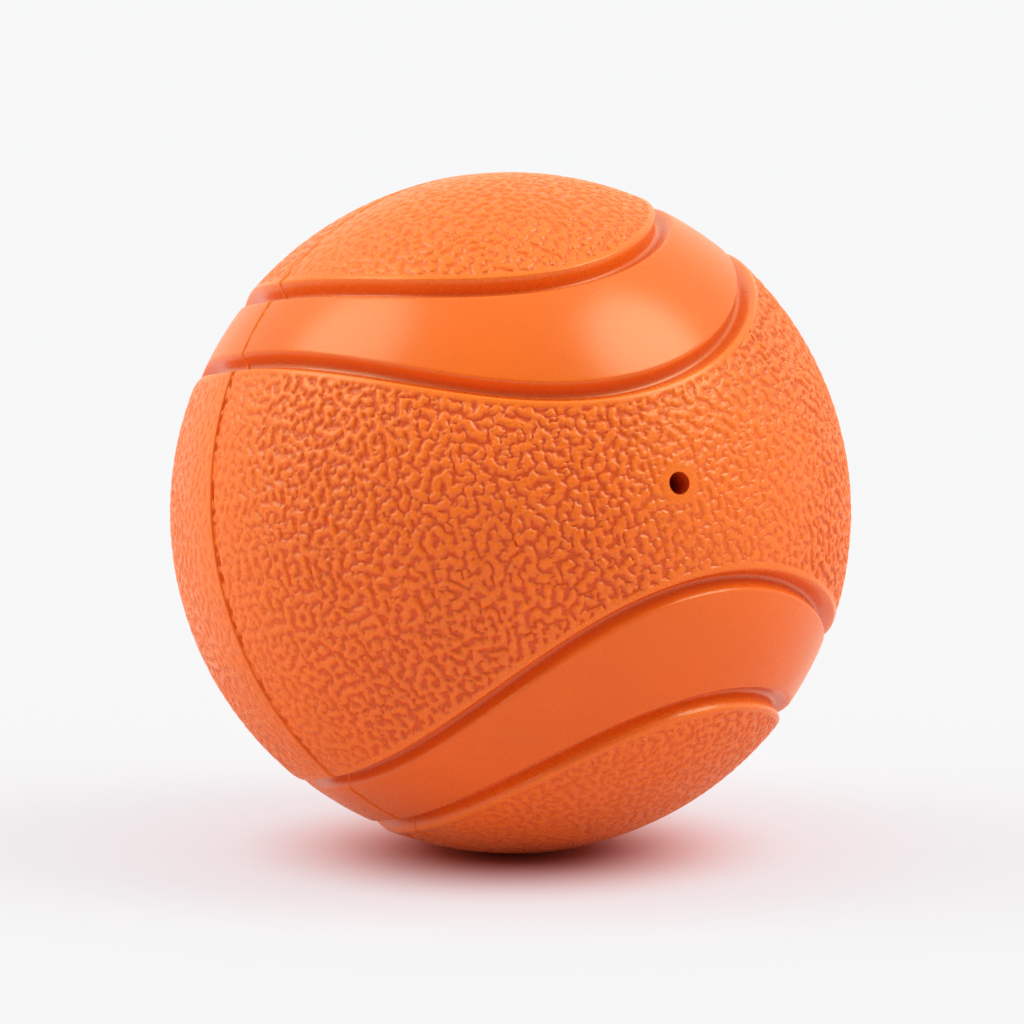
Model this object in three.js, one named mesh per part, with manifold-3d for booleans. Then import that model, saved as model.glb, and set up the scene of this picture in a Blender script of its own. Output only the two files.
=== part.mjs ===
// Rubber dog ball: two hollow moulded half shells bonded at a seam, with grained panels left
// plain here, a smooth winding band between two grooves, and a small vent at the front pole.
// Millimetres and degrees, +Z up, origin at the ball's centre, vent towards -Y.
import * as THREE from 'three';
import { mergeVertices } from 'three/addons/utils/BufferGeometryUtils.js';
import Module from 'manifold-3d';

// Ball
const BALL_DIAMETER = 60;
const WALL = 7;
const VENT_DIAMETER = 2;

// Seam: a layer of cured cement between the two rims, squeezed out a little all round
const BOND_THICKNESS = 0.4;
const BOND_FLASH = 0.15;
const RIM_CLEARANCE = 0.1;

// Band, from its centre line to the lip of the panel beside it, along the surface
const HALF_WIDTH_AT_SEAM_FRONT_WAIST = 4.15;
const HALF_WIDTH_AT_SEAM_REAR_WAIST = 5.7;
const HALF_WIDTH_INSIDE_BEND = 6.65;
const HALF_WIDTH_OUTSIDE_BEND = 7.5;
const SWELL_INSIDE_RUN = 0.15;
const PINCH_OUTSIDE_RUN = 0.7;
const REAR_SHIFT_PAST_SEAM = 2;

// Groove at each side of the band: the lip's run down to the floor, then up the band's shoulder
const GROOVE_DEPTH = 1.4;
const LIP_RUN = 1.15;
const SHOULDER_RUN = 1.2;
const BAND_DROP = 0.25;

// How the ball lies: the vent's tilt above level, and the roll of the band about the vent
const VENT_TILT = 13.6;
const BAND_ROLL = 53.2;

// Facets
const STEPS_PER_EIGHTH_TURN = 14;
const STEPS_ON_LIP = 5;
const STEPS_ON_SHOULDER = 4;
const STEPS_ON_CROWN = 4;
const PANEL_FACET = 2.6;
const CAVITY_STEPS = 40;
const VENT_STEPS = 16;

// The band's centre line is a tennis-ball curve. A third-harmonic share of a quarter makes it
// cross the seam squarely.
const THIRD_HARMONIC = 0.25;

const ballRadius = BALL_DIAMETER / 2;
const cavityRadius = ballRadius - WALL;
const grooveRun = LIP_RUN + SHOULDER_RUN;
const QUARTER_TURN = Math.PI / 2;
const EIGHTH_TURN = Math.PI / 4;
const bandStep = EIGHTH_TURN / STEPS_PER_EIGHTH_TURN;

const wasm = await Module();
wasm.setup();

// Points on the sphere of directions

function centreLine(t) {
  const first = 1 - THIRD_HARMONIC;
  const height = 2 * Math.sqrt(first * THIRD_HARMONIC);
  return new THREE.Vector3(
    first * Math.cos(t) + THIRD_HARMONIC * Math.cos(3 * t),
    first * Math.sin(t) - THIRD_HARMONIC * Math.sin(3 * t),
    height * Math.sin(2 * t),
  );
}

function sideways(t) {
  const first = 1 - THIRD_HARMONIC;
  const height = 2 * Math.sqrt(first * THIRD_HARMONIC);
  const along = new THREE.Vector3(
    -first * Math.sin(t) - 3 * THIRD_HARMONIC * Math.sin(3 * t),
    first * Math.cos(t) - 3 * THIRD_HARMONIC * Math.cos(3 * t),
    2 * height * Math.cos(2 * t),
  );
  return centreLine(t).cross(along).normalize();
}

// How far the rear half's band swings aside on its way from the seam, which it does within the
// first two thirds of an eighth turn
function rearShift(t) {
  const fromSeam = t - QUARTER_TURN * Math.round(t / QUARTER_TURN);
  if (Math.sin(2 * t) >= 0 || Math.abs(fromSeam) > EIGHTH_TURN * 2 / 3) return 0;
  return REAR_SHIFT_PAST_SEAM * (1 - Math.cos(12 * fromSeam)) / 2;
}

// Half width of the band on the side given by side = +1, towards the panel that has its waist at
// the front, or -1. Over the front half the +1 side is the outside of the bend, and over the rear
// half it is the inside. Just past the seam, the rear half's band lies further to the -1 side.
function halfWidth(t, side) {
  const outside = side * Math.sin(2 * t) >= 0;
  const bend = (1 - Math.cos(4 * t)) / 2;
  const run = (1 - Math.cos(8 * t)) / 2;
  const atBend = outside ? HALF_WIDTH_OUTSIDE_BEND : HALF_WIDTH_INSIDE_BEND;
  const atSeam = side > 0 ? HALF_WIDTH_AT_SEAM_FRONT_WAIST : HALF_WIDTH_AT_SEAM_REAR_WAIST;
  const onRun = outside ? -PINCH_OUTSIDE_RUN : SWELL_INSIDE_RUN;
  return atSeam + (atBend - atSeam) * bend + onRun * run - side * rearShift(t);
}

function beside(t, offset) {
  const angle = offset / ballRadius;
  return centreLine(t).multiplyScalar(Math.cos(angle)).addScaledVector(sideways(t), Math.sin(angle));
}

function lipDirection(t, side) {
  return beside(t, side * halfWidth(t, side));
}

// Depth of the surface below the panels

function smoothStep(x) {
  return x * x * x * (10 - 15 * x + 6 * x * x);
}

function depthFromLip(distance) {
  if (distance <= LIP_RUN) return GROOVE_DEPTH * smoothStep(distance / LIP_RUN);
  const up = Math.min((distance - LIP_RUN) / SHOULDER_RUN, 1);
  return GROOVE_DEPTH - (GROOVE_DEPTH - BAND_DROP) * smoothStep(up);
}

// Distances from the lip at which the groove gets an edge
function grooveStations() {
  const stations = [];
  for (let i = 0; i < STEPS_ON_LIP; i++) stations.push(LIP_RUN * i / STEPS_ON_LIP);
  for (let i = 0; i <= STEPS_ON_SHOULDER; i++) stations.push(LIP_RUN + SHOULDER_RUN * i / STEPS_ON_SHOULDER);
  return stations;
}

// One row of points straight across the band, from the +1 lip to the -1 lip
function bandRow(t, lift) {
  const row = [];
  const plus = halfWidth(t, 1);
  const minus = halfWidth(t, -1);
  const place = (offset, depth) => {
    row.push(beside(t, offset).multiplyScalar(ballRadius - depth + lift));
  };
  const stations = grooveStations();
  for (const s of stations) place(plus - s, depthFromLip(s));
  const crownFrom = plus - grooveRun;
  const crownTo = grooveRun - minus;
  for (let i = 1; i < STEPS_ON_CROWN; i++) {
    place(crownFrom + (crownTo - crownFrom) * i / STEPS_ON_CROWN, BAND_DROP);
  }
  for (const s of stations.reverse()) place(s - minus, depthFromLip(s));
  return row;
}

// One row of points across a panel, on the great circle between two mirrored points of its lip
function panelRow(from, to, lift) {
  const span = from.angleTo(to);
  const steps = Math.round(span * ballRadius / PANEL_FACET);
  if (steps < 1) return [from.clone().multiplyScalar(ballRadius + lift)];
  const row = [];
  for (let i = 0; i <= steps; i++) {
    const near = Math.sin(span * (1 - i / steps)) / Math.sin(span);
    const far = Math.sin(span * i / steps) / Math.sin(span);
    const point = from.clone().multiplyScalar(near).addScaledVector(to, far);
    row.push(point.multiplyScalar(ballRadius + lift));
  }
  return row;
}

// Triangles between two neighbouring rows, each turned to face away from the ball's centre
function stitch(rowA, rowB, triangles) {
  const face = (a, b, c) => {
    const normal = b.clone().sub(a).cross(c.clone().sub(a));
    const outward = normal.dot(a) > 0;
    triangles.push(a, outward ? b : c, outward ? c : b);
  };
  const lastA = rowA.length - 1;
  const lastB = rowB.length - 1;
  let i = 0;
  let j = 0;
  while (i < lastA || j < lastB) {
    const stepA = j === lastB || (i < lastA && (i + 1) * lastB <= (j + 1) * lastA);
    if (stepA) {
      face(rowA[i], rowA[i + 1], rowB[j]);
      i += 1;
    } else {
      face(rowA[i], rowB[j + 1], rowB[j]);
      j += 1;
    }
  }
}

// The whole outer skin of the ball, with its vent axis along local +Z and its seam at local z = 0
function skinGeometry(lift) {
  const triangles = [];
  for (let i = 0; i < 8 * STEPS_PER_EIGHTH_TURN; i++) {
    stitch(bandRow(i * bandStep, lift), bandRow((i + 1) * bandStep, lift), triangles);
  }
  // Each panel runs from the tip of one of its lobes, over its waist, to the tip of the other
  for (const side of [1, -1]) {
    const tip = -side * EIGHTH_TURN;
    const mirrored = (t) => 2 * tip - t;
    const rowAt = (i) => {
      const t = tip + i * bandStep;
      return panelRow(lipDirection(t, side), lipDirection(mirrored(t), side), lift);
    };
    for (let i = 0; i < 4 * STEPS_PER_EIGHTH_TURN; i++) stitch(rowAt(i), rowAt(i + 1), triangles);
  }
  return new THREE.BufferGeometry().setFromPoints(triangles);
}

// Solids for cutting and joining

function toSolid(geometry) {
  const bare = geometry.clone();
  bare.deleteAttribute('normal');
  bare.deleteAttribute('uv');
  const merged = mergeVertices(bare);
  return new wasm.Manifold(new wasm.Mesh({
    numProp: 3,
    vertProperties: new Float32Array(merged.attributes.position.array),
    triVerts: new Uint32Array(merged.index.array),
  }));
}

function toGeometry(solid) {
  const mesh = solid.getMesh();
  const geometry = new THREE.BufferGeometry();
  geometry.setAttribute('position', new THREE.BufferAttribute(mesh.vertProperties, 3));
  geometry.setIndex(new THREE.BufferAttribute(mesh.triVerts, 1));
  geometry.computeVertexNormals();
  return geometry;
}

// A block wider than the ball, between two heights above the seam
function slab(low, high) {
  const block = new THREE.BoxGeometry(2 * BALL_DIAMETER, 2 * BALL_DIAMETER, high - low);
  return toSolid(block.translate(0, 0, (low + high) / 2));
}

function cavitySolid() {
  const sphere = new THREE.SphereGeometry(cavityRadius, CAVITY_STEPS, CAVITY_STEPS / 2);
  return toSolid(sphere.rotateX(QUARTER_TURN));
}

function ventSolid() {
  const bore = new THREE.CylinderGeometry(VENT_DIAMETER / 2, VENT_DIAMETER / 2, BALL_DIAMETER, VENT_STEPS);
  return toSolid(bore.rotateX(QUARTER_TURN).translate(0, 0, ballRadius));
}

// The pieces

const rim = BOND_THICKNESS / 2 + RIM_CLEARANCE;
const hollowBall = toSolid(skinGeometry(0)).subtract(cavitySolid());
const frontHalf = hollowBall.intersect(slab(rim, BALL_DIAMETER)).subtract(ventSolid());
const rearHalf = hollowBall.intersect(slab(-BALL_DIAMETER, -rim));
const bond = toSolid(skinGeometry(BOND_FLASH))
  .intersect(slab(-BOND_THICKNESS / 2, BOND_THICKNESS / 2))
  .subtract(cavitySolid());

const mouldedRubber = new THREE.MeshStandardMaterial({ color: '#f2742e', roughness: 0.5, metalness: 0 });
const curedCement = new THREE.MeshStandardMaterial({ color: '#e9702f', roughness: 0.6, metalness: 0 });

function piece(name, solid, material) {
  const mesh = new THREE.Mesh(toGeometry(solid), material);
  mesh.name = name;
  return mesh;
}

const ball = new THREE.Group();
ball.add(piece('front_half_shell', frontHalf, mouldedRubber));
ball.add(piece('rear_half_shell', rearHalf, mouldedRubber));
ball.add(piece('seam_bond', bond, curedCement));
ball.rotation.set(
  THREE.MathUtils.degToRad(90 - VENT_TILT),
  0,
  THREE.MathUtils.degToRad(BAND_ROLL),
);

const part = new THREE.Group();
part.add(ball);

export default part;
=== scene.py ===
"""Looks of a rubber dog ball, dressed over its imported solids.

Two moulded half shells carry grained panels and a smooth winding band between two grooves, and a
bead of cured cement stands a little proud along the seam where they are bonded.

Lengths are in millimetres and angles in degrees until a mesh is written, which is in metres and in
the row frame of the solids. The ball's own frame has the vent axis along +Z and the seam at z = 0.
"""

import logging
import math
from dataclasses import dataclass, field
from enum import Enum

import bpy
import numpy as np
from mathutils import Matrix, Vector


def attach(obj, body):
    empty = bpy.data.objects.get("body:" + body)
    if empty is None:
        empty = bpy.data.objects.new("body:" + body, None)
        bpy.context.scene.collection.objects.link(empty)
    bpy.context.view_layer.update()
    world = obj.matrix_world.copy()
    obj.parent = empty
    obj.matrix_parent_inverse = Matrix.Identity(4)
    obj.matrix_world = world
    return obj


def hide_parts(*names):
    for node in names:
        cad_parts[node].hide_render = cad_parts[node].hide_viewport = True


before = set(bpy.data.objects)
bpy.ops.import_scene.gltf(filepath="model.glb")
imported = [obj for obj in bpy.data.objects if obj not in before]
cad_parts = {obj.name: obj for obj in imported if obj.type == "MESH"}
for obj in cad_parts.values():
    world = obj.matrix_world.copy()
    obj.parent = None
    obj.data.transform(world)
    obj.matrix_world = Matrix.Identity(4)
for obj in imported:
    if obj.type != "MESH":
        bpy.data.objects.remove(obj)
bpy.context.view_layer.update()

MM = 0.001
BODY = "root"
BOND = "seam_bond"
# How high each place stands, as a share, which also sets how much painted shade its colour takes
RELIEF = "relief"
GRAIN = "grain"
# Name of each piece's own map, for its materials to be baked through
BAKE_MAP = "OFBake"
# Vertices nearer than this are one, and edges sharper than this stay sharp
JOIN_DISTANCE = 0.0005
SHARP_ANGLE = 80.0
# Least angle between two directions that counts, in radians
LEAST_SPAN = 1e-6
# The middle of a noise texture's range, its finer layers and their strength
NOISE_RANGE = (0.3, 0.7)
NOISE_DETAIL = 3.0
NOISE_ROUGHNESS = 0.55
# Along the band's curve, in degrees: once round it, from one crossing of the seam to the next, and
# from a crossing to the bend beyond it
WHOLE_CURVE = 360.0
SEAM_TO_SEAM = 90.0
SEAM_TO_BEND = 45.0

log = logging.getLogger("dog_ball")


class Half(Enum):
    """The two mouldings, by the name of the solid that each stands for."""

    FRONT = "front_half_shell"
    REAR = "rear_half_shell"


class Slot(Enum):
    """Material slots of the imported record."""

    RUBBER = "moulded_rubber"
    CEMENT = "cured_cement"


def ease(x: np.ndarray) -> np.ndarray:
    """Rises smoothly from 0 at x = 0 to 1 at x = 1, flat at both ends."""
    x = np.clip(x, 0.0, 1.0)
    return x * x * x * (10.0 - 15.0 * x + 6.0 * x * x)


def unit(vectors: np.ndarray) -> np.ndarray:
    """Scales the vectors of the last axis to length 1."""
    return vectors / np.linalg.norm(vectors, axis=-1, keepdims=True)


def along_great_circle(start: np.ndarray, end: np.ndarray, share: np.ndarray) -> np.ndarray:
    """Directions on the great circles between pairs of directions.

    Args:
        start: Unit vectors, one a row.
        end: Unit vectors, one a row.
        share: How far along each circle, from 0 to 1, the same for every row.

    Returns:
        Unit vectors of shape (rows, shares, 3).
    """
    chord = np.linalg.norm(end - start, axis=-1)
    span = 2.0 * np.arcsin(np.clip(chord / 2.0, 0.0, 1.0))
    span = np.maximum(span, LEAST_SPAN)[:, None]
    near = np.sin(span * (1.0 - share)) / np.sin(span)
    far = np.sin(span * share) / np.sin(span)
    return unit(near[..., None] * start[:, None] + far[..., None] * end[:, None])


@dataclass(frozen=True)
class BallForm:
    """The ball's shape, from the same sizes as the solids.

    The band's centre line is a tennis-ball curve, run through by t from 0 to 360 degrees. side is
    +1 or -1, for the two sides of that line.
    """

    radius: float
    half_width_at_seam_front_waist: float = 4.15
    half_width_at_seam_rear_waist: float = 5.7
    half_width_inside_bend: float = 6.65
    half_width_outside_bend: float = 7.5
    swell_inside_run: float = 0.15
    pinch_outside_run: float = 0.7
    rear_shift_past_seam: float = 2.0
    # How far past the seam the rear band is moved aside, in degrees of t
    rear_shift_reach: float = 30.0
    groove_depth: float = 1.4
    lip_run: float = 1.15
    lip_corner: float = 0.08
    lip_wall_run: float = 1.0
    shoulder_run: float = 1.2
    band_drop: float = 0.25
    # How much of the channels' darker colour the grooves are painted with as shade, more where they lie
    # deeper
    groove_shade: float = 0.6
    wall: float = 7.0
    vent_diameter: float = 2.0
    vent_tilt: float = 13.6
    band_roll: float = 53.2
    third_harmonic: float = 0.25
    # The fine skin stays this far inside the faceted solids, and so inside their box.
    allowance: float = 0.05

    @property
    def skin_radius(self) -> float:
        """Radius of the panels' highest points."""
        return self.radius - self.allowance

    @property
    def cavity_radius(self) -> float:
        """Radius of the hollow inside."""
        return self.radius - self.wall

    @property
    def groove_run(self) -> float:
        """Width of one groove along the surface, from the panel's lip to the band's crown."""
        return self.lip_run + self.shoulder_run

    @property
    def harmonics(self) -> tuple[float, float, float]:
        """The centre line's first and third harmonic and its height above the seam."""
        first, third = 1.0 - self.third_harmonic, self.third_harmonic
        return first, third, 2.0 * math.sqrt(first * third)

    def centre_line(self, t: np.ndarray) -> np.ndarray:
        """Directions on the band's centre line at the angles t."""
        a = np.radians(t)
        first, third, height = self.harmonics
        return np.stack([
            first * np.cos(a) + third * np.cos(3.0 * a),
            first * np.sin(a) - third * np.sin(3.0 * a),
            height * np.sin(2.0 * a),
        ], -1)

    def sideways(self, t: np.ndarray) -> np.ndarray:
        """Directions across the band, towards its +1 side."""
        a = np.radians(t)
        first, third, height = self.harmonics
        ahead = np.stack([
            -first * np.sin(a) - 3.0 * third * np.sin(3.0 * a),
            first * np.cos(a) - 3.0 * third * np.cos(3.0 * a),
            2.0 * height * np.cos(2.0 * a),
        ], -1)
        return unit(np.cross(self.centre_line(t), ahead))

    def half_width_at_seam(self, side: int) -> float:
        """Distance along the seam from the centre line to the panel's lip on one side."""
        return self.half_width_at_seam_front_waist if side > 0 else self.half_width_at_seam_rear_waist

    def half_width(self, t: np.ndarray, side: int) -> np.ndarray:
        """Distance along the surface from the centre line to the panel's lip on one side."""
        a = np.radians(t)
        outside = side * np.sin(2.0 * a) >= 0.0
        bend = (1.0 - np.cos(4.0 * a)) / 2.0
        run = (1.0 - np.cos(8.0 * a)) / 2.0
        at_bend = np.where(outside, self.half_width_outside_bend, self.half_width_inside_bend)
        on_run = np.where(outside, -self.pinch_outside_run, self.swell_inside_run)
        at_seam = self.half_width_at_seam(side)
        from_seam = a - math.pi / 2.0 * np.rint(a / (math.pi / 2.0))
        reach = math.radians(self.rear_shift_reach)
        shifted = (np.sin(2.0 * a) < 0.0) & (np.abs(from_seam) <= reach)
        aside = self.rear_shift_past_seam * (1.0 - np.cos(2.0 * math.pi * from_seam / reach)) / 2.0
        return at_seam + (at_bend - at_seam) * bend + on_run * run - side * np.where(shifted, aside, 0.0)

    def beside(self, t: np.ndarray, offset: np.ndarray) -> np.ndarray:
        """Directions at a distance along the surface from the centre line."""
        angle = (offset / self.radius)[..., None]
        return np.cos(angle) * self.centre_line(t) + np.sin(angle) * self.sideways(t)

    def from_lip(self, t: np.ndarray, side: int, inward: float) -> np.ndarray:
        """Directions at a distance from the panel's lip towards the band."""
        return self.beside(t, side * (self.half_width(t, side) - inward))

    def depth_from_lip(self, distance: np.ndarray) -> np.ndarray:
        """Depth of the groove or band below the panels, at a distance from the lip."""
        down = self.groove_depth * ease((distance - self.lip_corner) / self.lip_wall_run)
        rise = ease((distance - self.lip_run) / self.shoulder_run)
        up = self.groove_depth - (self.groove_depth - self.band_drop) * rise
        return np.where(distance <= self.lip_run, down, up)

    def to_row_frame(self, points: np.ndarray) -> np.ndarray:
        """Turns points from the ball's own frame into the row frame of the solids."""
        tilt = math.radians(90.0 - self.vent_tilt)
        roll = math.radians(self.band_roll)
        about_x = np.array([
            [1.0, 0.0, 0.0],
            [0.0, math.cos(tilt), -math.sin(tilt)],
            [0.0, math.sin(tilt), math.cos(tilt)],
        ])
        about_z = np.array([
            [math.cos(roll), -math.sin(roll), 0.0],
            [math.sin(roll), math.cos(roll), 0.0],
            [0.0, 0.0, 1.0],
        ])
        return points @ (about_x @ about_z).T


@dataclass(frozen=True)
class Grain:
    """Moulded grain of the panels: rounded islands with narrow channels between them.

    The islands are the peaks of a field of random waves that run along the surface. Each is
    widened by the same distance, so that the channels left are of about even width.
    """

    pitch: float = 1.06
    pitch_spread: float = 0.22
    detail_pitch: float = 0.5
    detail_share: float = 0.32
    depth: float = 0.25
    island_level: float = 0.12
    widening: float = 0.11
    edge: float = 0.28
    # How much of the depth is in the islands' crowns
    crown_share: float = 0.3
    # Height of the wave field below its level where a crown begins, and the rise of a whole crown
    crown_start: float = 0.6
    crown_rise: float = 2.4
    # How far a wave may lean out of the surface, and the least slope that counts
    lean: float = 0.5
    least_slope: float = 0.25
    waves: int = 200
    seed: int = 3
    # Smooth margins, each as the distance where the grain begins and the run over which it grows
    lip_margin: tuple[float, float] = (0.1, 0.4)
    seam_margin: tuple[float, float] = (0.15, 0.35)
    vent_margin: tuple[float, float] = (1.5, 0.8)
    # Towards the seam the channels break up into shallow pits, over this distance
    pitted_run: float = 13.0
    pitted_level: float = -0.15
    pitted_share: float = 0.5
    # To the right of the vent the grain is shallow
    shallow_share: float = 0.55
    shallow_reach: tuple[float, float] = (6.0, 16.0)
    shallow_turn: float = 14.0
    points_at_once: int = 20000

    def _waves(self, points: np.ndarray, normals: np.ndarray, pitch: float,
               seed: int) -> tuple[np.ndarray, np.ndarray]:
        """Value and slope of one field of random waves, of spread 1.

        Args:
            points: Places in the ball's own frame.
            normals: Unit normals of the ball there.
            pitch: Mean wavelength.
            seed: Seed of the waves' directions, lengths and phases.

        Returns:
            The field's value and its slope vector at each point.
        """
        random = np.random.default_rng(seed)
        heading = unit(random.normal(size=(self.waves, 3)))
        length = pitch * np.exp(self.pitch_spread * random.normal(size=(self.waves, 1)))
        number = (2.0 * math.pi / length * heading).astype(np.float32)
        phase = random.uniform(0.0, 2.0 * math.pi, self.waves)
        angle = (points @ number.T + phase).astype(np.float32)
        leaning = (normals @ heading.T).astype(np.float32) / self.lean
        weight = np.exp(-0.5 * leaning * leaning)
        size = np.sqrt(0.5 * (weight * weight).sum(-1))
        value = (weight * np.cos(angle)).sum(-1) / size
        slope = -((weight * np.sin(angle)) @ number) / size[:, None]
        return value, slope

    def _height(self, points: np.ndarray, normals: np.ndarray) -> np.ndarray:
        """Height of the grain from 0 in the channels to 1 on the islands, with no margins."""
        value, slope = self._waves(points, normals, self.pitch, self.seed)
        fine, fine_slope = self._waves(points, normals, self.detail_pitch, self.seed + 1)
        value = value + self.detail_share * fine
        slope = slope + self.detail_share * fine_slope
        slope -= (slope * normals).sum(-1, keepdims=True) * normals
        steepness = (slope * slope).sum(-1) + (self.least_slope * 2.0 * math.pi / self.pitch) ** 2
        near_seam = ease(1.0 - np.abs(points[:, 2]) / self.pitted_run)
        level = self.island_level + (self.pitted_level - self.island_level) * near_seam
        distance = (value - level) / np.sqrt(steepness)
        island = ease((distance + self.widening) / self.edge + 0.5)
        crown = ease((value - level + self.crown_start) / self.crown_rise)
        return island * (1.0 - self.crown_share + self.crown_share * crown)

    def height(self, directions: np.ndarray, radius: float) -> np.ndarray:
        """Height of the grain from 0 to 1 at directions of the ball's own frame."""
        parts = [
            self._height(radius * part, part)
            for part in np.array_split(directions, len(directions) // self.points_at_once + 1)
        ]
        return np.concatenate(parts)

    def coverage(self, directions: np.ndarray, form: BallForm, from_lip: np.ndarray) -> np.ndarray:
        """How much of the grain's full depth each place has, from 0 to 1.

        Args:
            directions: Unit vectors in the ball's own frame.
            form: The ball's shape.
            from_lip: Distance of each place from the panel's lip.

        Returns:
            Shares of the grain's depth.
        """
        places = form.radius * directions
        from_axis = np.hypot(places[:, 0], places[:, 1])
        from_vent = np.where(places[:, 2] > 0.0, from_axis, form.radius)
        share = np.ones(len(places))
        for distance, (start, run) in (
            (from_lip, self.lip_margin),
            (np.abs(places[:, 2]), self.seam_margin),
            (from_vent, self.vent_margin),
        ):
            share *= ease((distance - start) / run)
        from_seam = ease(np.abs(places[:, 2]) / self.pitted_run)
        share *= self.pitted_share + (1.0 - self.pitted_share) * from_seam
        turn = math.radians(self.shallow_turn)
        roll = math.radians(form.band_roll)
        centre = np.array([
            math.sin(turn) * math.cos(roll),
            -math.sin(turn) * math.sin(roll),
            math.cos(turn),
        ])
        reach = form.radius * np.arccos(np.clip(directions @ centre, -1.0, 1.0))
        start, end = self.shallow_reach
        past_shallow = ease((reach - start) / (end - start))
        return share * (self.shallow_share + (1.0 - self.shallow_share) * past_shallow)


@dataclass(frozen=True)
class SeamStep:
    """The uneven shadow gap that the front moulding leaves beside the bead of cement."""

    offset: float = 0.36
    reach: float = 0.17
    depth: float = 0.4
    evenness: float = 0.15
    sharpness: float = 2.6
    waves: tuple[int, ...] = (31, 53, 71, 97, 131, 163)
    seed: int = 21

    def depth_at(self, directions: np.ndarray, radius: float) -> np.ndarray:
        """Depth of the gap at directions of the ball's own frame."""
        random = np.random.default_rng(self.seed)
        around = np.arctan2(directions[..., 1], directions[..., 0])
        uneven = sum(np.cos(n * around + random.uniform(0.0, 2.0 * math.pi)) for n in self.waves)
        uneven = 0.5 + 0.5 * np.tanh(uneven / math.sqrt(len(self.waves)) * self.sharpness)
        share = self.evenness + (1.0 - self.evenness) * uneven
        above = radius * directions[..., 2] - self.offset
        return self.depth * share * np.exp(-((above / self.reach) ** 2))


def srgb_to_linear(colour: str) -> tuple[float, float, float, float]:
    """Turns an sRGB hex colour into a linear one with alpha.

    Args:
        colour: Six hex digits after a hash sign.

    Returns:
        Linear red, green, blue and an alpha of 1.
    """
    levels = [int(colour[i:i + 2], 16) / 255.0 for i in (1, 3, 5)]
    linear = [v / 12.92 if v <= 0.04045 else ((v + 0.055) / 1.055) ** 2.4 for v in levels]
    return (linear[0], linear[1], linear[2], 1.0)


def add_node(tree: bpy.types.NodeTree, kind: str, settings: dict | None = None,
             values: dict | None = None, links: dict | None = None) -> bpy.types.Node:
    """Adds a node to a material.

    Args:
        tree: The material's node tree.
        kind: The node's type.
        settings: Properties of the node.
        values: Values of unlinked inputs, by input name or number.
        links: Output sockets to link to inputs, by input name or number.

    Returns:
        The new node.
    """
    node = tree.nodes.new(kind)
    for name, value in (settings or {}).items():
        setattr(node, name, value)
    for name, value in (values or {}).items():
        node.inputs[name].default_value = value
    for name, socket in (links or {}).items():
        tree.links.new(socket, node.inputs[name])
    return node


def new_material(name: str) -> tuple[bpy.types.Material, bpy.types.NodeTree]:
    """Makes an empty node material and returns it with its tree."""
    material = bpy.data.materials.new(name)
    material.use_nodes = True
    material.node_tree.nodes.clear()
    return material, material.node_tree


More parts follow.
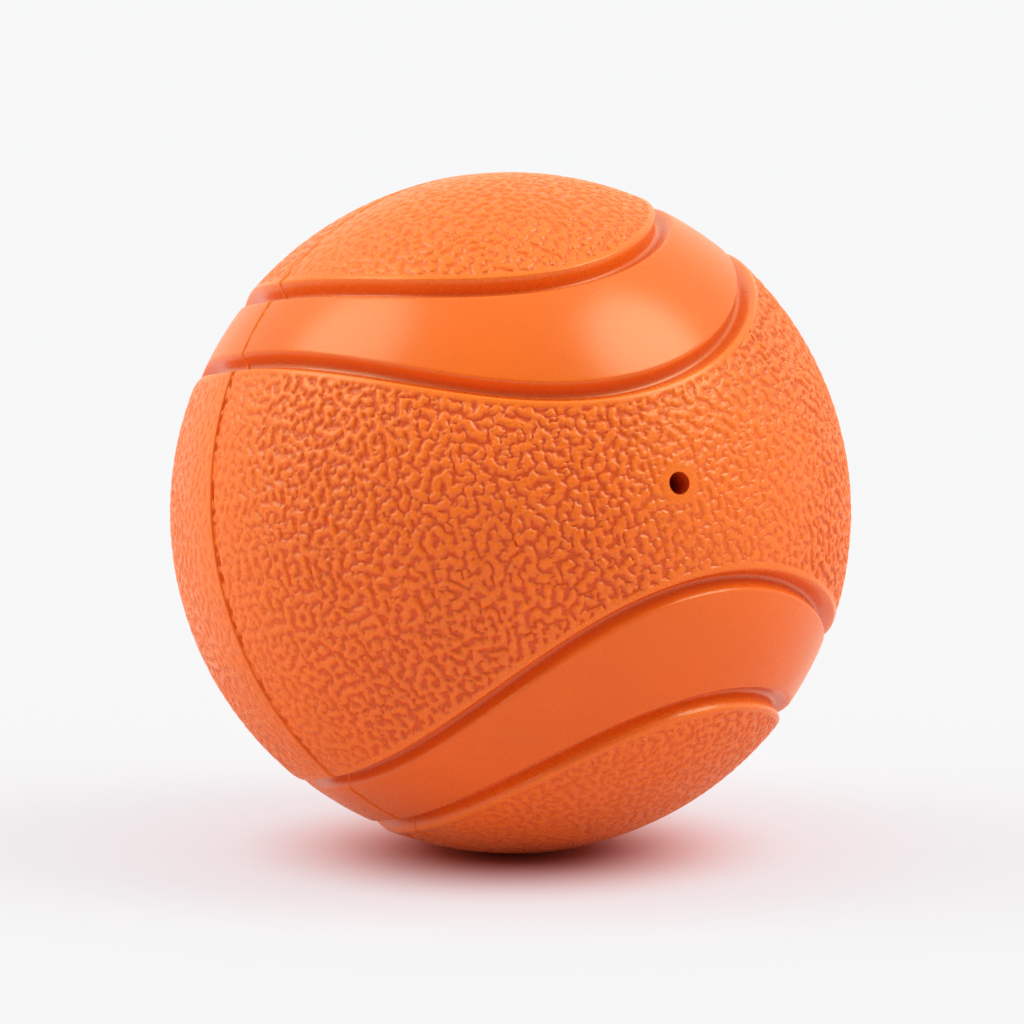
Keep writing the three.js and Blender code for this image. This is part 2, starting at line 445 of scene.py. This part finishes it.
@dataclass(frozen=True)
class RubberFinish:
    """Coloured natural rubber as it leaves a steel mould: satin, a little waxy, never mirror-like."""

    name: str
    top: str
    # Painted shade: the colour of the grain's channels and the groove floors, darker than the rubber's
    # own; on the band it is also pinkish as a painted reflection
    channel_shade: str
    roughness: float
    grain_roughness: float
    roughness_spread: float
    speck_share: float
    micro_pitch: float
    micro_depth: float
    cloud_pitch: float = 11.0
    cloud_share: float = 0.04
    ior: float = 1.5
    # Bloom of wax on the rubber takes the edge off its gloss
    specular_level: float = 0.47
    # Painted shade in the vent: distances from the ball's centre between which it darkens
    vent_shade_reach: tuple[float, float] = (25.0, 28.4)
    vent_shade_share: float = 0.12

    def material(self) -> bpy.types.Material:
        """Makes the finish's material. Its channels are read from the mesh's relief attribute."""
        material, tree = new_material(self.name)
        place = add_node(tree, "ShaderNodeTexCoord").outputs["Object"]
        relief = add_node(tree, "ShaderNodeAttribute", {"attribute_name": RELIEF}).outputs["Fac"]
        # Painted shade: the lower a place lies by the relief attribute, the more of the channel colour it
        # takes
        colour = add_node(
            tree, "ShaderNodeMix", {"data_type": "RGBA"},
            {"A": srgb_to_linear(self.channel_shade), "B": srgb_to_linear(self.top)},
            {"Factor": relief})
        # Pigment that isn't mixed quite evenly
        cloud = add_node(
            tree, "ShaderNodeTexNoise", None,
            {"Scale": 1.0 / (self.cloud_pitch * MM), "Detail": NOISE_DETAIL,
             "Roughness": NOISE_ROUGHNESS},
            {"Vector": place})
        level = add_node(
            tree, "ShaderNodeMapRange", None,
            {"From Min": NOISE_RANGE[0], "From Max": NOISE_RANGE[1],
             "To Min": 1.0 - self.cloud_share, "To Max": 1.0 + self.cloud_share},
            {"Value": cloud.outputs["Fac"]})
        # Blasted mould steel: a fine tooth that breaks up the highlights and leaves pale specks
        tooth = add_node(
            tree, "ShaderNodeTexNoise", None,
            {"Scale": 1.0 / (self.micro_pitch * MM), "Detail": NOISE_DETAIL,
             "Roughness": NOISE_ROUGHNESS},
            {"Vector": place})
        specks = add_node(
            tree, "ShaderNodeMapRange", None,
            {"From Min": NOISE_RANGE[0], "From Max": NOISE_RANGE[1],
             "To Min": 1.0 - self.speck_share, "To Max": 1.0 + self.speck_share},
            {"Value": tooth.outputs["Fac"]})
        value = add_node(
            tree, "ShaderNodeMath", {"operation": "MULTIPLY"}, None,
            {0: level.outputs["Result"], 1: specks.outputs["Result"]})
        # Painted shade deep in the vent, darker towards the ball's centre
        from_centre = add_node(
            tree, "ShaderNodeVectorMath", {"operation": "LENGTH"}, None, {0: place})
        deep, shallow = self.vent_shade_reach
        vent_shade = add_node(
            tree, "ShaderNodeMapRange", None,
            {"From Min": deep * MM, "From Max": shallow * MM, "To Min": self.vent_shade_share, "To Max": 1.0},
            {"Value": from_centre.outputs["Value"]})
        value = add_node(
            tree, "ShaderNodeMath", {"operation": "MULTIPLY"}, None,
            {0: value.outputs["Value"], 1: vent_shade.outputs["Result"]})
        tinted = add_node(
            tree, "ShaderNodeHueSaturation", None, {"Fac": 1.0},
            {"Value": value.outputs["Value"], "Color": colour.outputs["Result"]})
        uneven = add_node(
            tree, "ShaderNodeMapRange", None,
            {"From Min": NOISE_RANGE[0], "From Max": NOISE_RANGE[1],
             "To Min": -self.roughness_spread, "To Max": self.roughness_spread},
            {"Value": tooth.outputs["Fac"]})
        # The grooves and margins come off polished steel, the grain off etched steel
        grain = add_node(tree, "ShaderNodeAttribute", {"attribute_name": GRAIN}).outputs["Fac"]
        dull = add_node(
            tree, "ShaderNodeMapRange", None,
            {"To Min": self.roughness, "To Max": self.grain_roughness}, {"Value": grain})
        shine = add_node(
            tree, "ShaderNodeMath", {"operation": "ADD"}, None,
            {0: dull.outputs["Result"], 1: uneven.outputs["Result"]})
        bump = add_node(
            tree, "ShaderNodeBump", None, {"Strength": 1.0, "Distance": self.micro_depth * MM},
            {"Height": tooth.outputs["Fac"]})
        shader = add_node(
            tree, "ShaderNodeBsdfPrincipled", None,
            {"IOR": self.ior, "Specular IOR Level": self.specular_level},
            {"Base Color": tinted.outputs["Color"], "Roughness": shine.outputs["Value"],
             "Normal": bump.outputs["Normal"]})
        add_node(tree, "ShaderNodeOutputMaterial", None, None, {"Surface": shader.outputs["BSDF"]})
        return material


# Grained panels: bright speckled islands, channels and groove walls painted redder and darker as shade,
# and small glints along the edges
GRAINED_RUBBER = RubberFinish(
    "moulded_rubber_grained", top="#f6721c", channel_shade="#e05412", roughness=0.25,
    grain_roughness=0.32, roughness_spread=0.05, speck_share=0.09,
    micro_pitch=0.26, micro_depth=0.01)
# Band: an even orange with a soft broad highlight, and groove floors painted darker as shade and pinkish
# as a painted reflection
SMOOTH_RUBBER = RubberFinish(
    "moulded_rubber_smooth", top="#ee660d", channel_shade="#c95a34", roughness=0.26,
    grain_roughness=0.26, roughness_spread=0.04, speck_share=0.0,
    micro_pitch=0.3, micro_depth=0.004)
# Seam: the same orange, a little duller than the rubber on either side
CURED_CEMENT = RubberFinish(
    "cured_rubber_cement", top="#ef6e12", channel_shade="#ef6e12", roughness=0.45,
    grain_roughness=0.45, roughness_spread=0.05, speck_share=0.03,
    micro_pitch=0.3, micro_depth=0.02)


def wrap_grid(name: str, points: np.ndarray, marks: dict[str, np.ndarray]) -> bpy.types.Object:
    """Adds a grid and lays its vertices on the given points.

    Args:
        name: The piece's name.
        points: Places of the vertices in the ball's row frame, of shape (rows, columns, 3).
        marks: Values to keep on the vertices by name, each of shape (rows, columns).

    Returns:
        The new piece, selected and active.
    """
    rows, columns = points.shape[:2]
    bpy.ops.object.select_all(action="DESELECT")
    bpy.ops.mesh.primitive_grid_add(x_subdivisions=columns - 1, y_subdivisions=rows - 1, size=1.0)
    piece = bpy.context.object
    piece.name = name
    piece.data.name = name
    piece.data.uv_layers[0].name = BAKE_MAP
    flat = np.empty(3 * rows * columns, np.float32)
    piece.data.vertices.foreach_get("co", flat)
    # The new grid runs from -0.5 to 0.5 both ways
    flat = flat.reshape(-1, 3) + 0.5
    column = np.rint(flat[:, 0] * (columns - 1)).astype(int)
    row = np.rint(flat[:, 1] * (rows - 1)).astype(int)
    piece.data.vertices.foreach_set("co", (points[row, column] * MM).astype(np.float32).ravel())
    for mark, values in marks.items():
        attribute = piece.data.attributes.new(mark, "FLOAT", "POINT")
        attribute.data.foreach_set("value", values[row, column].astype(np.float32))
    return piece


def close_piece(piece: bpy.types.Object) -> None:
    """Joins a wrapped grid's meeting edges, caps its open ends and smooths its shading."""
    bpy.ops.object.mode_set(mode="EDIT")
    bpy.ops.mesh.select_all(action="SELECT")
    bpy.ops.mesh.remove_doubles(threshold=JOIN_DISTANCE * MM)
    bpy.ops.mesh.fill_holes(sides=0)
    bpy.ops.mesh.select_all(action="SELECT")
    bpy.ops.mesh.normals_make_consistent(inside=False)
    bpy.ops.object.mode_set(mode="OBJECT")
    bpy.ops.object.shade_smooth_by_angle(angle=math.radians(SHARP_ANGLE))


def hand_over(piece: bpy.types.Object, material: bpy.types.Material, solid: str) -> None:
    """Gives a piece its material and puts it in the place of its solid.

    Args:
        piece: The finished piece.
        material: Its only material.
        solid: Name of the solid that it stands for.
    """
    piece.data.materials.clear()
    piece.data.materials.append(material)
    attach(piece, BODY)
    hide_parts(solid)
    log.info("%s: %d faces", piece.name, len(piece.data.polygons))


@dataclass
class Moulding:
    """What the panels and bands of a half shell share: shape, finish and how they are handed over."""

    name: str
    half: Half
    form: BallForm
    step: SeamStep
    pitch: float = 0.13
    cavity_columns: int = 14
    step_share: float = 1.0

    def finish_piece(self, piece: bpy.types.Object, material: bpy.types.Material) -> None:
        """Gives the piece its material and puts it in the place of its half shell."""
        hand_over(piece, material, self.half.value)

    def walled(self, directions: np.ndarray, depth: np.ndarray) -> np.ndarray:
        """Closes a skin into a slice of the wall: down each edge and back along the cavity.

        Args:
            directions: Unit vectors of the skin, of shape (rows, columns, 3).
            depth: Depth below the panels, of shape (rows, columns).

        Returns:
            Points of the closed section in the ball's own frame. The skin has all its columns
            after the first one.
        """
        radius = self.form.skin_radius - depth
        if self.half is Half.FRONT:
            radius = radius - self.step_share * self.step.depth_at(directions, self.form.radius)
        skin = radius[..., None] * directions
        share = np.linspace(0.0, 1.0, self.cavity_columns + 1)
        back = along_great_circle(directions[:, -1], directions[:, 0], share)
        cavity = self.form.cavity_radius * back
        return np.concatenate([cavity[:, -1:], skin, cavity], axis=1)


@dataclass
class Panel(Moulding):
    """A stretch of a grained panel, from lip to lip, with the groove walls down to their floors.

    Rows run straight across the panel between mirrored points of its lip. start and end are the
    angles t of the first and last row on one lip, and the other lip has 2 * tip - t.
    """

    side: int = 1
    start: float = 0.0
    end: float = SEAM_TO_SEAM
    parts: int = 1
    part: int = 0
    columns: int = 300
    groove_columns: int = 14
    # How much of the grain's depth this panel has
    grain_share: float = 1.0
    # Places at which the lip is measured for the rows, and for distances from it
    row_samples: int = 4001
    lip_samples: int = 1441
    grain: Grain = field(default_factory=Grain)

    @property
    def tip(self) -> float:
        """The angle t at the tip of the panel's first lobe."""
        return -SEAM_TO_BEND * self.side

    def rows(self) -> np.ndarray:
        """Angles t of the rows, evenly spaced over the surface, of this part of the panel."""
        t = np.linspace(self.start, self.end, self.row_samples)
        lip = self.form.from_lip(t, self.side, 0.0)
        middle = unit(lip + self.form.from_lip(2.0 * self.tip - t, self.side, 0.0))
        moved = np.maximum(*(np.linalg.norm(np.diff(line, axis=0), axis=-1) for line in (lip, middle)))
        travel = self.form.radius * np.concatenate([[0.0], np.cumsum(moved)])
        count = self.parts * math.ceil(travel[-1] / self.pitch / self.parts)
        even = np.interp(np.linspace(0.0, travel[-1], count + 1), travel, t)
        rows_a_part = count // self.parts
        return even[self.part * rows_a_part:(self.part + 1) * rows_a_part + 1]

    def distance_from_lip(self, directions: np.ndarray) -> np.ndarray:
        """Distance along the surface of each direction from the panel's nearest lip."""
        t = np.linspace(self.tip, self.tip + WHOLE_CURVE, self.lip_samples)
        lip = self.form.from_lip(t, self.side, 0.0)
        parts = np.array_split(directions, len(directions) // self.grain.points_at_once + 1)
        nearest = np.concatenate([(part @ lip.T).max(-1) for part in parts])
        return self.form.radius * np.arccos(np.clip(nearest, -1.0, 1.0))

    def build(self) -> bpy.types.Object:
        """Models the panel and returns it."""
        t = self.rows()
        other = 2.0 * self.tip - t
        inward = np.linspace(self.form.lip_run, 0.0, self.groove_columns + 1)
        left = np.stack([self.form.from_lip(t, self.side, s) for s in inward], 1)
        right = np.stack([self.form.from_lip(other, self.side, s) for s in inward[::-1]], 1)
        across = np.linspace(0.0, 1.0, self.columns + 1)[1:-1]
        skin = along_great_circle(left[:, -1], right[:, 0], across)
        flat = skin.reshape(-1, 3)
        height = self.grain.height(flat, self.form.radius)
        cover = self.grain.coverage(flat, self.form, self.distance_from_lip(flat))
        cover *= self.grain_share
        relief = (1.0 - cover * (1.0 - height)).reshape(skin.shape[:2])
        wall_depth = np.broadcast_to(self.form.depth_from_lip(inward), left.shape[:2])
        depth = np.concatenate(
            [wall_depth, self.grain.depth * (1.0 - relief), wall_depth[:, ::-1]], 1)
        directions = np.concatenate([left, skin, right], 1)
        points = self.walled(directions, depth)
        marks = {RELIEF: np.ones(points.shape[:2]), GRAIN: np.zeros(points.shape[:2])}
        # Painted shade: the groove walls take more of the channel colour the deeper they lie
        marks[RELIEF][:, 1:1 + depth.shape[1]] -= self.form.groove_shade * depth / self.form.groove_depth
        first = 1 + left.shape[1]
        # Painted shade along the front moulding's gap beside the seam: the panel takes more of the channel
        # colour where the gap is deep
        if self.half is Half.FRONT:
            gap = self.step.depth_at(skin, self.form.radius) / self.step.depth
            relief = relief * (1.0 - self.step_share * gap)
        marks[RELIEF][:, first:first + skin.shape[1]] = relief
        marks[GRAIN][:, first:first + skin.shape[1]] = cover.reshape(skin.shape[:2])
        piece = wrap_grid(self.name, self.form.to_row_frame(points), marks)
        close_piece(piece)
        return piece


@dataclass
class VentPanel(Panel):
    """The stretch of the front panel that has the vent bored through it."""

    bore_steps: int = 48

    def build(self) -> bpy.types.Object:
        """Models the panel, bores the vent and returns it."""
        piece = super().build()
        axis = Vector(self.form.to_row_frame(np.array([[0.0, 0.0, 1.0]]))[0])
        bpy.ops.object.select_all(action="DESELECT")
        bpy.ops.mesh.primitive_cylinder_add(
            vertices=self.bore_steps, radius=self.form.vent_diameter / 2.0 * MM,
            depth=self.form.radius * MM, location=axis * self.form.radius * MM,
            rotation=axis.to_track_quat("Z", "Y").to_euler())
        drill = bpy.context.object
        bpy.ops.object.select_all(action="DESELECT")
        piece.select_set(True)
        bpy.context.view_layer.objects.active = piece
        bore = piece.modifiers.new("vent", "BOOLEAN")
        bore.operation = "DIFFERENCE"
        bore.object = drill
        bpy.ops.object.modifier_apply(modifier=bore.name)
        bpy.data.objects.remove(drill)
        return piece


@dataclass
class Band(Moulding):
    """One bend of the smooth band, from seam to seam, with the groove floors at its sides."""

    start: float = 0.0
    shoulder_columns: int = 12
    crown_columns: int = 36
    row_samples: int = 1001
    pitch: float = 0.25
    step_share: float = 0.12

    def build(self) -> bpy.types.Object:
        """Models the bend and returns it."""
        t = np.linspace(self.start, self.start + SEAM_TO_SEAM, self.row_samples)
        travel = np.linalg.norm(np.diff(self.form.centre_line(t), axis=0), axis=-1).cumsum()
        count = math.ceil(self.form.radius * travel[-1] / self.pitch)
        t = np.interp(np.linspace(0.0, travel[-1], count + 1), np.append(0.0, travel), t)
        stations = np.linspace(self.form.lip_run, self.form.groove_run, self.shoulder_columns + 1)
        plus, minus = self.form.half_width(t, 1), self.form.half_width(t, -1)
        crown = np.linspace(0.0, 1.0, self.crown_columns + 1)[1:-1]
        crown_from, crown_to = plus - self.form.groove_run, self.form.groove_run - minus
        offsets = np.concatenate([
            plus[:, None] - stations,
            crown_from[:, None] + (crown_to - crown_from)[:, None] * crown,
            stations[::-1] - minus[:, None],
        ], 1)
        from_lip = np.minimum(plus[:, None] - offsets, offsets + minus[:, None])
        directions = np.stack([self.form.beside(t, column) for column in offsets.T], 1)
        depth = self.form.depth_from_lip(from_lip)
        points = self.walled(directions, depth)
        relief = np.ones(points.shape[:2])
        # Painted shade: the shoulders and groove floors take more of the channel colour the deeper they
        # lie
        below_crown = (depth - self.form.band_drop) / (self.form.groove_depth - self.form.band_drop)
        relief[:, 1:1 + depth.shape[1]] -= self.form.groove_shade * below_crown
        piece = wrap_grid(self.name, self.form.to_row_frame(points), {RELIEF: relief})
        close_piece(piece)
        return piece


@dataclass
class SeamBead:
    """The bead of cured cement that stands proud along the seam, down the grooves and over the band."""

    form: BallForm
    name: str = "seam_bead"
    half_width: float = 0.2
    height: float = 0.11
    root: float = 0.6
    pitch: float = 0.13
    arch_columns: int = 9
    unevenness: float = 0.22
    # The bead is trimmed lower on the lobes than on the waists
    lobe_share: float = 0.25
    waves: tuple[int, ...] = (17, 29, 53, 79, 113)
    seed: int = 8

    def build(self) -> bpy.types.Object:
        """Models the bead and returns it."""
        count = math.ceil(2.0 * math.pi * self.form.radius / self.pitch)
        around = np.linspace(0.0, 2.0 * math.pi, count + 1)
        random = np.random.default_rng(self.seed)
        uneven = sum(np.cos(n * around + random.uniform(0.0, 2.0 * math.pi)) for n in self.waves)
        size = 1.0 + self.unevenness * uneven / len(self.waves)
        quarter = math.pi / 2.0
        crossing = np.rint(around / quarter)
        beyond = self.form.radius * (around - crossing * quarter)
        # At every other crossing the front waist lies the other way round the seam
        towards_waist = np.where(crossing % 2 == 0, -beyond, beyond)
        half_width = np.where(
            towards_waist > 0.0, self.form.half_width_at_seam(1), self.form.half_width_at_seam(-1))
        from_lip = np.maximum(half_width - np.abs(beyond), 0.0)
        past_lip = np.where(towards_waist > 0.0, 0.0, np.abs(beyond) - half_width)
        height = self.height * size * (1.0 - (1.0 - self.lobe_share) * ease(past_lip))
        skin = self.form.skin_radius - self.form.depth_from_lip(from_lip)
        arch = np.linspace(0.0, math.pi, self.arch_columns)
        beside = np.concatenate([[1.0], np.cos(arch), [-1.0], [1.0]])
        above = np.concatenate([[0.0], np.sin(arch), [0.0], [0.0]])
        sunk = np.concatenate([[1.0], np.zeros(self.arch_columns), [1.0], [1.0]])
        z = self.half_width * size[:, None] * beside
        radius = skin[:, None] + height[:, None] * above - self.root * sunk
        points = np.stack([
            radius * np.cos(around)[:, None], radius * np.sin(around)[:, None], z], -1)
        piece = wrap_grid(self.name, self.form.to_row_frame(points), {RELIEF: np.ones(points.shape[:2])})
        close_piece(piece)
        return piece

    def dress(self, piece: bpy.types.Object) -> None:
        """Gives the bead its finish and puts it in the place of the bond."""
        hand_over(piece, CURED_CEMENT.material(), BOND)


@dataclass
class HalfShell:
    """One moulding: a waist panel in three stretches, two lobes and two bends of the band."""

    half: Half
    form: BallForm
    step: SeamStep = field(default_factory=SeamStep)
    waist_parts: int = 3
    # The shadow gap and the grain are shallower on the lobes
    lobe_step_share: float = 0.2
    lobe_grain_share: float = 0.6

    def build(self, grained: bpy.types.Material, smooth: bpy.types.Material) -> None:
        """Models and dresses the moulding's pieces.

        Args:
            grained: Finish of the panels.
            smooth: Finish of the band.
        """
        front = self.half is Half.FRONT
        prefix = "front" if front else "rear"
        waist_side = 1 if front else -1
        waist_start = 0.0 if front else SEAM_TO_SEAM
        common = (self.half, self.form, self.step)
        for part in range(self.waist_parts):
            vented = front and part == self.waist_parts // 2
            kind = VentPanel if vented else Panel
            panel = kind(
                f"{prefix}_waist_panel_{part + 1}", *common, side=waist_side, start=waist_start,
                end=waist_start + SEAM_TO_SEAM, parts=self.waist_parts, part=part)
            panel.finish_piece(panel.build(), grained)
        lobe_side = -waist_side
        first_tip = -SEAM_TO_BEND * lobe_side
        lobes = ((first_tip, SEAM_TO_BEND), (first_tip + WHOLE_CURVE / 2.0, -SEAM_TO_BEND))
        for number, (tip, away) in enumerate(lobes, 1):
            panel = Panel(
                f"{prefix}_lobe_panel_{number}", *common, side=lobe_side, start=tip, end=tip + away,
                step_share=self.lobe_step_share, grain_share=self.lobe_grain_share)
            panel.finish_piece(panel.build(), grained)
        for number in range(2):
            start = waist_start + WHOLE_CURVE / 2.0 * number
            band = Band(f"{prefix}_band_{number + 1}", *common, start=start)
            band.finish_piece(band.build(), smooth)


@dataclass
class Studio:
    """Pale floor, soft lamps and the camera at the photograph's angle."""

    form: BallForm
    floor_size: float = 8000.0
    floor_colour: str = "#e2c7d4"
    seen_floor_colour: str = "#d3cce0"
    # Painted shadow and reflected light: close under the ball the floor takes a darker colour, reddened
    # like the light that the rubber throws on it
    shadow_and_bounce_colour: str = "#e6847a"
    shadow_and_bounce_reach: tuple[float, float] = (6.0, 46.0)
    backdrop_colour: str = "#f7f7fd"
    # How much of the floor's own shadow shows against the plain backdrop colour, away from the ball
    shadow_share: float = 0.3
    shadow_reach: tuple[float, float] = (6.0, 27.0)
    # Light from the walls of the studio, and from the darker side below the camera
    wall_light: float = 1.0
    camera_side_light: float = 0.13
    dark_side_elevation: float = -8.0
    lamp_colour: str = "#e7ffd7"
    wall_colour: str = "#fffde2"
    # Each lamp's azimuth, elevation, strength and the angle that it fills as seen from the ball
    right_lamp: tuple[float, float, float, float] = (53.0, 50.0, 1.76, 38.0)
    left_lamp: tuple[float, float, float, float] = (-126.0, 45.0, 1.2, 38.0)
    # A small weak lamp for the glints on the grain's edges
    glint_lamp: tuple[float, float, float, float] = (-97.0, 22.0, 0.26, 14.0)
    camera_azimuth: float = -30.1
    camera_elevation: float = 10.0
    camera_distance: float = 1500.0
    # How far the camera sees, in lengths of its distance
    sight: float = 4.0
    sensor: float = 36.0
    frame_pixels: int = 1024
    ball_radius_pixels: float = 341.3
    ball_centre_pixel: tuple[float, float] = (510.6, 512.7)

    def add_floor(self) -> None:
        """Lays the floor under the ball."""
        bpy.ops.object.select_all(action="DESELECT")
        bpy.ops.mesh.primitive_plane_add(
            size=self.floor_size * MM, location=(0.0, 0.0, -self.form.radius * MM))
        floor = bpy.context.object
        floor.name = "floor"
        material, tree = new_material("matt_paper")
        paper = add_node(tree, "ShaderNodeBsdfDiffuse", None, {"Color": srgb_to_linear(self.floor_colour)})
        # Near the ball the paper takes the painted shadow and reflected light and keeps its whole real
        # shadow, farther off it is nearly plain
        from_ball = add_node(
            tree, "ShaderNodeVectorMath", {"operation": "LENGTH"}, None,
            {0: add_node(tree, "ShaderNodeTexCoord").outputs["Object"]})
        shadow_and_bounce_share, shaded = (
            add_node(
                tree, "ShaderNodeMapRange", {"interpolation_type": "SMOOTHSTEP"},
                {"From Min": near * MM, "From Max": far * MM, "To Min": 1.0, "To Max": 0.0},
                {"Value": from_ball.outputs["Value"]}).outputs["Result"]
            for near, far in (self.shadow_and_bounce_reach, self.shadow_reach))
        painted_shadow_and_bounce = add_node(
            tree, "ShaderNodeMix", {"data_type": "RGBA"},
            {"A": srgb_to_linear(self.seen_floor_colour), "B": srgb_to_linear(self.shadow_and_bounce_colour)},
            {"Factor": shadow_and_bounce_share})
        seen_paper = add_node(
            tree, "ShaderNodeBsdfDiffuse", None, None, {"Color": painted_shadow_and_bounce.outputs["Result"]})
        shadow = add_node(
            tree, "ShaderNodeMapRange", None, {"To Min": self.shadow_share}, {"Value": shaded})
        plain = add_node(tree, "ShaderNodeEmission", None, {"Color": srgb_to_linear(self.backdrop_colour)})
        lifted = add_node(
            tree, "ShaderNodeMixShader", None, None,
            {0: shadow.outputs["Result"], 1: plain.outputs["Emission"], 2: seen_paper.outputs["BSDF"]})
        path = add_node(tree, "ShaderNodeLightPath")
        shader = add_node(
            tree, "ShaderNodeMixShader", None, None,
            {0: path.outputs["Is Camera Ray"], 1: paper.outputs["BSDF"], 2: lifted.outputs["Shader"]})
        add_node(tree, "ShaderNodeOutputMaterial", None, None, {"Surface": shader.outputs["Shader"]})
        floor.data.materials.append(material)

    def add_light(self) -> None:
        """Sets the light of the studio's walls, the two soft lamps and the weak one for glints."""
        world = bpy.data.worlds.new("studio")
        bpy.context.scene.world = world
        world.use_nodes = True
        tree = world.node_tree
        tree.nodes.clear()
        towards_dark = add_node(
            tree, "ShaderNodeVectorMath", {"operation": "DOT_PRODUCT"},
            {1: self.direction(self.camera_azimuth, self.dark_side_elevation)},
            {0: add_node(tree, "ShaderNodeTexCoord").outputs["Generated"]})
        strength = add_node(
            tree, "ShaderNodeMapRange", None,
            {"To Min": self.wall_light, "To Max": self.camera_side_light},
            {"Value": towards_dark.outputs["Value"]})
        walls = add_node(
            tree, "ShaderNodeBackground", None, {"Color": srgb_to_linear(self.wall_colour)},
            {"Strength": strength.outputs["Result"]})
        backdrop = add_node(
            tree, "ShaderNodeBackground", None, {"Color": srgb_to_linear(self.backdrop_colour)})
        path = add_node(tree, "ShaderNodeLightPath")
        seen = add_node(
            tree, "ShaderNodeMixShader", None, None,
            {0: path.outputs["Is Camera Ray"], 1: walls.outputs["Background"],
             2: backdrop.outputs["Background"]})
        add_node(tree, "ShaderNodeOutputWorld", None, None, {"Surface": seen.outputs["Shader"]})
        for name, (azimuth, elevation, energy, angle) in (
            ("right_lamp", self.right_lamp),
            ("left_lamp", self.left_lamp),
            ("glint_lamp", self.glint_lamp),
        ):
            lamp = bpy.data.lights.new(name, "SUN")
            lamp.energy = energy
            lamp.color = srgb_to_linear(self.lamp_colour)[:3]
            lamp.angle = math.radians(angle)
            lamp_object = bpy.data.objects.new(name, lamp)
            bpy.context.scene.collection.objects.link(lamp_object)
            towards = self.direction(azimuth, elevation)
            lamp_object.rotation_euler = towards.to_track_quat("Z", "Y").to_euler()

    @staticmethod
    def direction(azimuth: float, elevation: float) -> Vector:
        """Unit vector from the ball, with azimuth 0 towards the front and growing to the right."""
        a, e = math.radians(azimuth), math.radians(elevation)
        return Vector((math.sin(a) * math.cos(e), -math.cos(a) * math.cos(e), math.sin(e)))

    def add_camera(self) -> None:
        """Puts the camera where it sees the ball as the photograph shows it."""
        back = self.direction(self.camera_azimuth, self.camera_elevation)
        camera = bpy.data.cameras.new("camera")
        camera.sensor_width = self.sensor
        apparent = self.form.radius / math.sqrt(self.camera_distance ** 2 - self.form.radius ** 2)
        camera.lens = self.ball_radius_pixels / apparent * self.sensor / self.frame_pixels
        camera.clip_end = self.sight * self.camera_distance * MM
        camera_object = bpy.data.objects.new("camera", camera)
        bpy.context.scene.collection.objects.link(camera_object)
        turn = back.to_track_quat("Z", "Y")
        pixel = self.form.radius / self.ball_radius_pixels
        x, y = self.ball_centre_pixel
        middle = self.frame_pixels / 2.0
        aim = turn @ Vector(((middle - x) * pixel, (y - middle) * pixel, 0.0))
        camera_object.location = (back * self.camera_distance + aim) * MM
        camera_object.rotation_euler = turn.to_euler()
        bpy.context.scene.camera = camera_object

    def build(self) -> None:
        """Sets up the whole studio."""
        self.add_floor()
        self.add_light()
        self.add_camera()
        bpy.context.scene.view_settings.view_transform = "Standard"


def ball_radius() -> float:
    """Radius of the ball, from the solids' farthest corner, in millimetres."""
    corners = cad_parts[Half.FRONT.value].data.vertices
    return max(corner.co.length for corner in corners) / MM


def main() -> None:
    """Builds the ball and the studio round it."""
    logging.basicConfig(level=logging.INFO, format="%(name)s: %(message)s")
    form = BallForm(radius=ball_radius())
    grained, smooth = GRAINED_RUBBER.material(), SMOOTH_RUBBER.material()
    for half in Half:
        HalfShell(half, form).build(grained, smooth)
    bead = SeamBead(form)
    bead.dress(bead.build())
    Studio(form).build()


if __name__ == "__main__":
    main()
